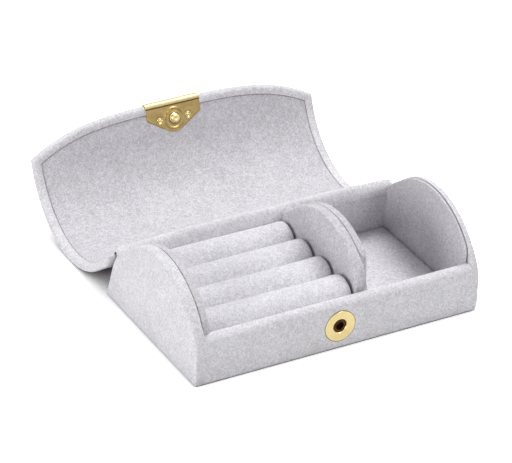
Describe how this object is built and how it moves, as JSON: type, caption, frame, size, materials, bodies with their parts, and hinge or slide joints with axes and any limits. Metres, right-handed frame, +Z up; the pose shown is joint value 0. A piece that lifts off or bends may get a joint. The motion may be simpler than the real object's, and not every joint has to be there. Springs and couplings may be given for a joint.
{
  "type": "jewelry armoire",
  "caption": "Small half-barrel jewellery box in pale suede with a padded swing lid, press-stud clasp, ring rolls and one open compartment.",
  "frame": {"origin": "centre of the base's flat underside, on the surface that the box stands on", "axes": "+X along the length towards the open compartment, +Y from the front wall to the hinge, +Z up"},
  "size_m": [0.167, 0.1863, 0.0516],
  "materials": {
    "outer_suede": "pale lilac-grey microfibre suede",
    "lining_suede": "pale lilac-grey microfibre suede",
    "greyboard": "raw grey bookbinding board",
    "foam": "polyurethane foam",
    "brass": "pale polished brass"
  },
  "bodies": {
    "base": {"underside_cover": "outer_suede", "base_board": "greyboard", "left_end_cover": "outer_suede", "left_end_board": "greyboard", "left_end_lining": "lining_suede", "right_end_cover": "outer_suede", "right_end_board": "greyboard", "right_end_lining": "lining_suede", "front_wall_cover": "outer_suede", "front_wall_board": "greyboard", "front_wall_foam": "foam", "back_wall_cover": "outer_suede", "back_wall_board": "greyboard", "back_wall_foam": "foam", "back_wall_lining": "lining_suede", "ring_tray": "lining_suede", "floor_lining": "lining_suede", "divider_left_cover": "lining_suede", "divider_left_board": "greyboard", "divider_right_cover": "lining_suede", "divider_right_board": "greyboard", "ring_roll_1": "lining_suede", "ring_roll_2": "lining_suede", "ring_roll_3": "lining_suede", "ring_roll_4": "lining_suede", "ring_roll_core_1": "foam", "ring_roll_core_2": "foam", "ring_roll_core_3": "foam", "ring_roll_core_4": "foam", "snap_ring": "brass", "snap_socket": "brass", "snap_spring": "brass", "snap_washer": "brass"},
    "lid": {"hinge_strip": "outer_suede", "lid_cover": "outer_suede", "lid_board": "greyboard", "lid_lining": "lining_suede"},
    "flap": {"flap_cover": "outer_suede", "flap_board": "greyboard", "flap_lining": "lining_suede", "clasp_plate": "brass", "clasp_rivets": "brass", "snap_stud": "brass", "stud_cap": "brass"}
  },
  "joints": [
    {"name": "lid_hinge", "type": "hinge", "parent": "base", "child": "lid", "pos_m": [0, 0.039, 0.0284], "axis": [1, 0, 0], "range_deg": [0, 180.7]},
    {"name": "flap_bend", "type": "hinge", "parent": "lid", "child": "flap", "pos_m": [0, 0.12787, 0.03421], "axis": [1, 0, 0], "range_deg": [0, 18], "stiffness_Nm_per_rad": 0.02}
  ]
}
